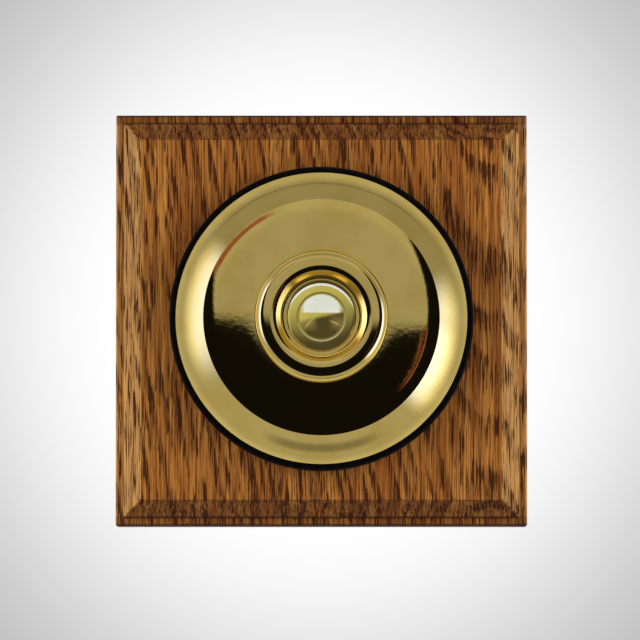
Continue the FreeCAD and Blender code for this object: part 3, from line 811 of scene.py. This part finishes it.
class SWITCH_OT_brass_dome(bpy.types.Operator):
    """Spin the dome: a steep roll at the rim, a crease, a shoulder and a shallow crown"""
    bl_idname = "switch.brass_dome"
    bl_label = "Brass dome"

    def execute(self, context):
        look = context.scene.push_switch
        dome = look.dome
        crease = DOME_RADIUS - dome.roll_width
        shoulder = crease - dome.shoulder_width
        seat = RING_RADIUS + dome.seat_margin
        rim = Vector((DOME_RADIUS, RIM_LEVEL))
        roll = tilted_arc(rim, dome.roll_rim_tilt, crease, dome.roll_crease_tilt)
        slope_down = tilted_arc(roll[-1], dome.shoulder_tilt, shoulder, dome.crown_rim_tilt)
        crown = tilted_arc(slope_down[-1], dome.crown_rim_tilt, seat, dome.crown_seat_tilt)
        lip = Vector((0.0, SEAT_LEVEL - crown[-1].y))
        outside = [rim] + [point + lip for point in (*roll, *slope_down[1:], *crown[1:])]
        outside.append(Vector((dome.bore, SEAT_LEVEL)))
        inside = [self.inward(outside, index, dome.wall) for index in range(len(outside))]
        inside[0].y = RIM_LEVEL
        inside[-1].x = dome.bore
        made = turned("brass_dome", outside + inside[::-1], DOME_CREASE)
        brass = brass_finish("lacquered_brass", look.brass, look.brass.ripple, look.brass.roughness)
        dress(made, brass, "wall_unit", "dome_cover")
        return {"FINISHED"}

    @staticmethod
    def inward(outline, index, wall):
        """The point inside the wall from a point of the outside."""
        along = outline[min(index + 1, len(outline) - 1)] - outline[max(index - 1, 0)]
        return outline[index] + wall * Vector((-along.y, along.x)).normalized()


class SWITCH_OT_retaining_ring(bpy.types.Operator):
    """Turn the ring that holds the dome down"""
    bl_idname = "switch.retaining_ring"
    bl_label = "Retaining ring"

    def execute(self, context):
        look = context.scene.push_switch
        sizes = look.button
        relief = sizes.bush_radius + sizes.ring_relief
        thread = SEAT_LEVEL + sizes.ring_thread
        outline = rounded(
            (sizes.ring_bore, SEAT_LEVEL), (RING_RADIUS, SEAT_LEVEL),
            (RING_RADIUS, RING_TOP - sizes.ring_fall, sizes.ring_round), (relief, RING_TOP),
            (relief, thread), (sizes.ring_bore, thread))
        made = turned("turned_ring", outline)
        dress(made, turned_brass(look.brass), "wall_unit", "retaining_ring")
        return {"FINISHED"}


class SWITCH_OT_button_bush(bpy.types.Operator):
    """Turn the bush with the funnel that leads down to the button"""
    bl_idname = "switch.button_bush"
    bl_label = "Button bush"

    def execute(self, context):
        look = context.scene.push_switch
        sizes = look.button
        lip_bore = BUTTON_LIP + sizes.lip_gap
        lip_top = LIP_BOTTOM + sizes.lip_height
        land = BUSH_CREST - sizes.funnel_depth
        crest = Vector((sizes.bush_crest_radius, BUSH_CREST))
        mouth = tilted_arc(crest, 0.0, sizes.mouth_radius, -sizes.mouth_tilt)
        inward = sizes.mouth_radius - sizes.cone_radius
        cone = mouth[-1] - inward * Vector((1.0, math.tan(sizes.cone_tilt)))
        outline = rounded(
            (sizes.bush_land, land), (sizes.bush_bore, land, sizes.arris), (sizes.bush_bore, lip_top),
            (lip_bore, lip_top), (lip_bore, BUSH_BOTTOM), (BUSH_FLANGE, BUSH_BOTTOM),
            (BUSH_FLANGE, BASE_FLOOR), (sizes.bush_radius, BASE_FLOOR),
            (sizes.bush_radius, BUSH_CREST), crest)
        made = turned("turned_bush", outline[:-1] + mouth + [cone], BUSH_CREASE)
        dress(made, turned_brass(look.brass), "wall_unit", "button_bush")
        return {"FINISHED"}


class SWITCH_OT_push_button(bpy.types.Operator):
    """Turn the button with its groove and raised middle"""
    bl_idname = "switch.push_button"
    bl_label = "Push button"

    def execute(self, context):
        look = context.scene.push_switch
        sizes = look.button
        face = NUB_TOP - sizes.nub_height
        groove = sizes.nub_radius + sizes.groove_width
        soft = sizes.arris
        brow = Vector((sizes.button_radius - sizes.brow_width, 0.0))
        brow.y = face - (brow.x - groove) * math.tan(sizes.crowning)
        brow = tilted_arc(brow, sizes.crowning, sizes.button_radius - soft / 2, sizes.brow_tilt)
        groove_out = face - sizes.groove_depth
        cavity = sizes.button_radius - sizes.button_wall
        lip_top = LIP_BOTTOM + sizes.lip_height
        sphere = (sizes.nub_radius ** 2 + sizes.nub_height ** 2) / (2 * sizes.nub_height)
        centre = Vector((0.0, NUB_TOP - sphere))
        foot = Vector((sizes.nub_radius, face))
        nub = arc_points(centre, Vector((0.0, NUB_TOP)), foot)
        nub[0].x = 0.0
        skirt = rounded(
            foot, (sizes.nub_radius, groove_out, soft), (groove, groove_out, soft),
            (groove, face, soft / 2), *brow, (sizes.button_radius, brow[-1].y - soft / 2),
            (sizes.button_radius, lip_top), (BUTTON_LIP, lip_top), (BUTTON_LIP, LIP_BOTTOM),
            (cavity, LIP_BOTTOM), (cavity, HEAD_TOP), (0.0, HEAD_TOP))
        made = turned("turned_button", nub + skirt[1:])
        brass = brass_finish("mirror_brass", look.brass, look.brass.turning, roughness=0.0)
        dress(made, brass, "button", "push_button")
        return {"FINISHED"}


class SWITCH_OT_springs(bpy.types.Operator):
    """Wind the return spring and the contact spring"""
    bl_idname = "switch.springs"
    bl_label = "Springs"

    def execute(self, context):
        look = context.scene.push_switch
        sizes = look.springs
        steel = metal_finish("spring_wire", look.fittings.steel, roughness=0.3)
        travel = {joint["name"]: joint["range_m"][1] for joint in frame["joints"]}
        press, follow = travel["button_press"], travel["bridge_follow"]

        returning = coil("return_coil", "return_spring", sizes.return_wire, sizes.return_turns)
        dress(returning, steel, "wall_unit", "return_spring")
        _, bottom, top = span("return_spring")
        kept = 1 - press / (top - bottom)
        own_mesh(returning)

        contact = coil("contact_coil", "contact_spring", sizes.contact_wire, sizes.contact_turns)
        dress(contact, steel, "button", "contact_spring")
        _, bottom, top = span("contact_spring")
        kept = 1 - (press - follow) / (top - bottom)
        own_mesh(contact)
        return {"FINISHED"}


class SWITCH_OT_contacts(bpy.types.Operator):
    """Finish the contacts, terminals and screws"""
    bl_idname = "switch.contacts"
    bl_label = "Contacts, terminals and screws"

    def execute(self, context):
        look = context.scene.push_switch.fittings
        zinc = metal_finish("zinc_plating", look.zinc, roughness=0.34)
        refinish(zinc, "base_screws", "cover_plate", "cover_screws", "earth_screw", "terminal_screws")
        refinish(metal_finish("clip_steel", look.steel, roughness=0.3), "stem_clip")
        brass = metal_finish("terminal_metal", look.terminal, roughness=0.3)
        refinish(brass, "line_terminal", "load_terminal", "earth_terminal")
        refinish(metal_finish("bridge_copper", look.copper, roughness=0.3), "contact_bridge")
        silver = metal_finish("contact_silver", look.silver, roughness=0.25)
        refinish(silver, "fixed_contact_tips", "moving_contact_tips")
        return {"FINISHED"}


# Stage

# Camera, lamps, floor and backdrop: in metres, with the sensor in millimetres and the backdrop in degrees
SENSOR_WIDTH = 36.0
NEAREST, FARTHEST = 0.01, 100.0
LAMP_WIDTH, LAMP_HEIGHT = 0.7, 1.0
LAMP_ASIDE, LAMP_FORWARD, LAMP_UP = 1.0, 0.47, 0.15
PAPER_HALF, PAPER_DROP = 15.0, 1.2
PAPER_RATE = (0.004, 0.004, 0.004)
PAPER_SHADES = display(236, 236, 236), display(242, 242, 242)
BACKDROP_FADE = (1.527, 3.93)
FAR_EDGE, FAR_LEVEL = (8, 20), 0.85

# From where to where the fill from behind sets in, as the part of a direction that points at the wall
BEHIND = (-0.3, 0.5)

# What the dome, ring and bush mirror. Two numbers are a soft edge, and three are a band and its
# softness. Sides, heights and the ends of the boxes go from -1 to 1 round the middle of the view,
# and other edges and bands are in degrees. Single numbers are brightnesses, leans and shifts.
CARD_BOTTOM, CARD_TILT = (0.8, 3.3), 0.05
CARD_RIGHT, CARD_RIGHT_LEAN = (21, 17), 0.45
CARD_LEFT, CARD_LEFT_LEAN = (-21, -16), 0.93
CARD_OUTER, CARD_OUTER_GLOW = (18, 34), 0.08
LEFT_BOX_SIDE, LEFT_BOX_BOTTOM, LEFT_BOX_TOP = (-0.1, -0.3), (-0.52, -0.1), (0.68, 0.45)
RIGHT_BOX_SIDE, RIGHT_BOX_BOTTOM, RIGHT_BOX_TOP = (0.1, 0.3), (-0.72, -0.54), (0.45, 0.1)
RIGHT_BOX_CORE, RIGHT_BOX_CORE_GLOW = (-0.42, -0.1, 0.14), 0.5
BOX_OUTER, BOX_RIM, BOX_FLARE = (91, 66), (64, 80), (57.6, 60.2, 0.6)
DIP_HEIGHT, DIP_BAND, DIP_DEPTH = (-0.86, -0.96), (68, 77, 3), 0.2
SEAM_HEIGHT, SEAM_BAND, SEAM_DEPTH = (0.6, 0.8), (82.5, 84, 1), 0.12
LOW_HEIGHT = (-0.2, -0.6)
ROOM_LEVEL, ROOM_LOW_GLOW = 0.33, 0.12
ROOM_EDGE, ROOM_LOW_EDGE = (49, 58), 9
ROOM_OUTER, ROOM_OUTER_GLOW = (83, 94), 0.2
WALL_EDGE, WALL_LEVEL = (108, 140), 0.9
GLINT_HEIGHT, GLINT_BAND, GLINT_LEVEL = (0.74, 0.93, 0.06), (55.4, 58.2, 0.6), 0.8
LEFT_STREAK_BAND, LEFT_STREAK_SIDE = (34, 41, 1.5), (-0.3, -0.5)
LEFT_STREAK_HEIGHT = (0.47, 0.94, 0.06)
RIGHT_STREAK_BAND, RIGHT_STREAK_SIDE = (19.6, 21.6, 0.7), (0.6, 0.8)
RIGHT_STREAK_HEIGHT = (-0.55, 0.04, 0.08)
THIN_STREAK_BAND, THIN_STREAK_LEVEL = (17, 18, 0.6), 0.6
LEAST_SPREAD = 0.001

# What the button mirrors, in the same way but all in degrees
WELL_LEVEL = 0.085
WELL_LEFT_SIDE, WELL_LEFT_BAND, WELL_LEFT_GLOW = (-4, -26), (-22, 0, 12), 0.19
WELL_RIGHT_SIDE, WELL_RIGHT_BAND, WELL_RIGHT_GLOW = (12, 34), (-22, 2, 9), 0.12
STEEP_LINE_LEAN, STEEP_LINE_BAND = 0.86, (11, 16.5, 3)
STEEP_LINE_SPAN, STEEP_LINE_GLOW = (-38, -11, 5), 0.26
FLAT_LINE_LEAN, FLAT_LINE_BAND = 0.34, (-1.8, 1.8, 2)
FLAT_LINE_SPAN, FLAT_LINE_GLOW = (21, 40, 5), 0.3
WELL_ROOM_EDGE, WELL_ROOM_LEAN = (-3, 9), 0.22
WELL_CARD_BOTTOM, WELL_CARD_TOP, WELL_CARD_SIDE = (10, 12.8), (75, 55), (47, 38)


def turn_of(wire, operation):
    """An inverse function of a value, in degrees."""
    return wire.apply(operation) * math.degrees(1)


def turn_aside(x, front):
    """How far a direction turns to the right of the front, in degrees."""
    return x.apply("ARCTAN2", front) * math.degrees(1)


def surround(tree, direction, look):
    """What the dome mirrors: a dim card over the camera, dark below it and a soft box on each side."""
    x, y, z = direction.split()
    front = y * -1
    turned_away = turn_of(front, "ARCCOSINE")
    level = turn_of(z, "ARCSINE")
    aside = turn_aside(x, front)
    spread = (x * x + z * z).apply("SQRT").apply("MAXIMUM", LEAST_SPREAD)
    right, up = x / spread, z / spread

    card = (level + aside * CARD_TILT).ease(*CARD_BOTTOM)
    card = card * (aside - level * CARD_RIGHT_LEAN).ease(*CARD_RIGHT)
    card = card * (aside + level * CARD_LEFT_LEAN).ease(*CARD_LEFT)
    card_glow = look.card_level + turned_away.ease(*CARD_OUTER) * CARD_OUTER_GLOW
    middle = look.dark_level + card * (card_glow - look.dark_level)

    left_box = right.ease(*LEFT_BOX_SIDE) * up.ease(*LEFT_BOX_BOTTOM) * up.ease(*LEFT_BOX_TOP)
    right_box = right.ease(*RIGHT_BOX_SIDE) * up.ease(*RIGHT_BOX_BOTTOM) * up.ease(*RIGHT_BOX_TOP)
    right_box = right_box * (1 + up.within(*RIGHT_BOX_CORE) * RIGHT_BOX_CORE_GLOW)
    dip = up.ease(*DIP_HEIGHT) * turned_away.within(*DIP_BAND) * DIP_DEPTH
    seam = up.ease(*SEAM_HEIGHT) * turned_away.within(*SEAM_BAND) * SEAM_DEPTH
    low = up.ease(*LOW_HEIGHT)
    outer = ROOM_LEVEL + low * ROOM_LOW_GLOW + turned_away.ease(*ROOM_OUTER) * ROOM_OUTER_GLOW - dip - seam
    edge = (turned_away + low * ROOM_LOW_EDGE).ease(*ROOM_EDGE)
    room = middle + edge * (outer - middle)
    grey = room + turned_away.ease(*WALL_EDGE) * (WALL_LEVEL - room)
    grey = grey + up.within(*GLINT_HEIGHT) * turned_away.within(*GLINT_BAND) * GLINT_LEVEL
    glow = edge * (left_box + right_box) * turned_away.ease(*BOX_OUTER) * look.box_level
    flare = (left_box + right_box) * turned_away.within(*BOX_FLARE)
    boxes = tree.blend(turned_away.ease(*BOX_RIM), look.box_colour, look.box_rim) * glow
    boxes = boxes + tree.vector(*(flare * part for part in look.flare))

    left_streak = turned_away.within(*LEFT_STREAK_BAND) * right.ease(*LEFT_STREAK_SIDE)
    left_streak = left_streak * up.within(*LEFT_STREAK_HEIGHT)
    right_streak = turned_away.within(*THIN_STREAK_BAND) * THIN_STREAK_LEVEL
    right_streak = right_streak + turned_away.within(*RIGHT_STREAK_BAND)
    right_streak = right_streak * right.ease(*RIGHT_STREAK_SIDE) * up.within(*RIGHT_STREAK_HEIGHT)
    return tree.blend(left_streak + right_streak, grey, look.streak) + boxes


def button_surround(tree, direction, look):
    """What the button mirrors, deep in its funnel: a white card above, a dim room and lighter sides."""
    x, y, z = direction.split()
    level = turn_of(z, "ARCSINE")
    aside = turn_aside(x, y * -1)
    left = aside.ease(*WELL_LEFT_SIDE) * level.within(*WELL_LEFT_BAND) * WELL_LEFT_GLOW
    right = aside.ease(*WELL_RIGHT_SIDE) * level.within(*WELL_RIGHT_BAND) * WELL_RIGHT_GLOW
    steep_line = (level - aside * STEEP_LINE_LEAN).within(*STEEP_LINE_BAND)
    steep_line = steep_line * aside.within(*STEEP_LINE_SPAN) * STEEP_LINE_GLOW
    flat_line = (level + aside * FLAT_LINE_LEAN).within(*FLAT_LINE_BAND)
    flat_line = flat_line * aside.within(*FLAT_LINE_SPAN) * FLAT_LINE_GLOW
    sides = WELL_LEVEL + left + right + steep_line + flat_line
    room = tree.blend((level - aside * WELL_ROOM_LEAN).ease(*WELL_ROOM_EDGE), sides, look.button_room)
    white = tuple(part * look.button_level for part in look.button_card)
    card = level.ease(*WELL_CARD_BOTTOM) * level.ease(*WELL_CARD_TOP) * abs(aside).ease(*WELL_CARD_SIDE)
    return tree.blend(card, room, white)


def backdrop(direction, sight, look):
    """A pale backdrop that fades gently away from the middle of the picture."""
    product = {"operation": "DOT_PRODUCT"}
    facing = direction.tree.node("ShaderNodeVectorMath", product, {0: direction, 1: sight}, "Value")
    away = turn_of(facing.apply("MINIMUM", 1.0), "ARCCOSINE")
    fade = away.ease(*BACKDROP_FADE) * (1 - look.backdrop_edge)
    return 1 - fade + away.ease(*FAR_EDGE) * (FAR_LEVEL - look.backdrop_edge)


def studio_world(look, sight):
    """The world: a backdrop for the camera, a surround for polished metal and a soft fill for the rest.

    The button alone has no roughness, so singular rays are the ones that it mirrors.
    """
    world = bpy.data.worlds.new("studio")
    world.cycles.sampling_method = "NONE"
    tree = Tree(world)
    direction = tree.node("ShaderNodeTexCoord", {}, {}, "Generated")
    rays = {ray: tree.node("ShaderNodeLightPath", {}, {}, f"Is {ray} Ray")
            for ray in ("Camera", "Transmission", "Glossy", "Singular")}
    behind = direction.split()[1].ease(*BEHIND)
    fill = look.fill_level + behind * (look.back_level - look.fill_level)
    around_dome = surround(tree, direction, look)
    around_button = button_surround(tree, direction, look)
    mirrored = tree.blend(rays["Singular"], around_dome, around_button)
    seen = tree.blend(rays["Glossy"], fill, mirrored)
    straight = rays["Camera"].apply("MAXIMUM", rays["Transmission"])
    seen = tree.blend(straight, seen, backdrop(direction, sight, look))
    light = tree.node("ShaderNodeBackground", {}, {"Color": seen, "Strength": 1.0})
    tree.node("ShaderNodeOutputWorld", {}, {"Surface": light})
    bpy.context.scene.world = world


def area_lamp(name, place, aim, width, height, radiance):
    """A soft box that the camera doesn't see."""
    data = bpy.data.lights.new(name, "AREA")
    data.shape = "RECTANGLE"
    data.size, data.size_y = width, height
    data.energy = radiance * width * height * math.pi
    lamp = bpy.data.objects.new(name, data)
    lamp.location = place
    lamp.rotation_euler = (aim - place).to_track_quat("-Z", "Y").to_euler()
    lamp.visible_camera = False
    lamp.visible_glossy = False
    bpy.context.scene.collection.objects.link(lamp)


class SWITCH_OT_stage(bpy.types.Operator):
    """Set the camera, the soft boxes, the backdrop and the pale floor"""
    bl_idname = "switch.stage"
    bl_label = "Stage"

    def execute(self, context):
        look = context.scene.push_switch.studio
        toward = Vector((
            math.sin(look.azimuth) * math.cos(look.elevation),
            -math.cos(look.azimuth) * math.cos(look.elevation),
            math.sin(look.elevation)))
        self.camera(context.scene, look, toward)
        self.lamps(look)
        self.floor()
        studio_world(look, -toward)
        context.scene.view_settings.view_transform = "Standard"
        return {"FINISHED"}

    @staticmethod
    def camera(scene, look, toward):
        aim = Vector((look.aim_x, -PLATE_FACE, look.aim_z))
        data = bpy.data.cameras.new("photograph")
        data.sensor_width = SENSOR_WIDTH
        data.lens = SENSOR_WIDTH * look.distance / look.frame_width
        data.clip_start, data.clip_end = NEAREST, FARTHEST
        camera = bpy.data.objects.new("photograph", data)
        camera.location = aim + toward * look.distance
        camera.rotation_euler = (-toward).to_track_quat("-Z", "Y").to_euler()
        scene.collection.objects.link(camera)
        scene.camera = camera

    @staticmethod
    def lamps(look):
        middle = Vector((0.0, -PLATE_FACE, 0.0))
        for side, name in ((-1, "left_box"), (1, "right_box")):
            place = Vector((side * LAMP_ASIDE, -LAMP_FORWARD, LAMP_UP))
            area_lamp(name, place, middle, LAMP_WIDTH, LAMP_HEIGHT, look.lamp_level)

    @staticmethod
    def floor():
        corners = [(x * PAPER_HALF, y * PAPER_HALF, -PAPER_DROP) for x, y in CORNERS]
        sheet = piece("studio_floor", corners, [(0, 1, 2, 3)], BOARD_CREASE)
        paper = Finish("floor_paper")
        cloud = paper.noise(paper.place() * PAPER_RATE)
        body = paper.blend(cloud, *PAPER_SHADES)
        sheet.data.materials.append(paper.surface(Base_Color=body, Roughness=0.9))
        sheet.visible_glossy = False


class SWITCH_PT_pieces(bpy.types.Panel):
    """The pieces of the switch and their settings"""
    bl_idname = "SWITCH_PT_pieces"
    bl_label = "Push button switch"
    bl_space_type = "VIEW_3D"
    bl_region_type = "UI"
    bl_category = "Switch"

    def draw(self, context):
        for operator in OPERATORS:
            self.layout.operator(operator.bl_idname)
        look = context.scene.push_switch
        for group in SwitchLook.__annotations__:
            settings = getattr(look, group)
            column = self.layout.box().column()
            column.label(text=group.capitalize())
            for setting in type(settings).__annotations__:
                column.prop(settings, setting)


GROUPS = (
    PlateShape, DomeShape, ButtonShape, SpringShape, OakLook, BrassLook, FittingsLook, StudioLook,
    SwitchLook)
OPERATORS = (
    SWITCH_OT_oak_plate, SWITCH_OT_moulded_base, SWITCH_OT_brass_dome, SWITCH_OT_retaining_ring,
    SWITCH_OT_button_bush, SWITCH_OT_push_button, SWITCH_OT_springs, SWITCH_OT_contacts,
    SWITCH_OT_stage)


def register():
    for kind in (*GROUPS, *OPERATORS, SWITCH_PT_pieces):
        bpy.utils.register_class(kind)
    bpy.types.Scene.push_switch = PointerProperty(
        type=SwitchLook, name="Push button switch", description="Settings of the push button switch")


def unregister():
    del bpy.types.Scene.push_switch
    for kind in reversed((*GROUPS, *OPERATORS, SWITCH_PT_pieces)):
        bpy.utils.unregister_class(kind)


def main():
    """Builds the switch and its stage."""
    register()
    bpy.ops.switch.oak_plate()
    bpy.ops.switch.moulded_base()
    bpy.ops.switch.brass_dome()
    bpy.ops.switch.retaining_ring()
    bpy.ops.switch.button_bush()
    bpy.ops.switch.push_button()
    bpy.ops.switch.springs()
    bpy.ops.switch.contacts()
    bpy.ops.switch.stage()


if __name__ == "__main__":
    main()
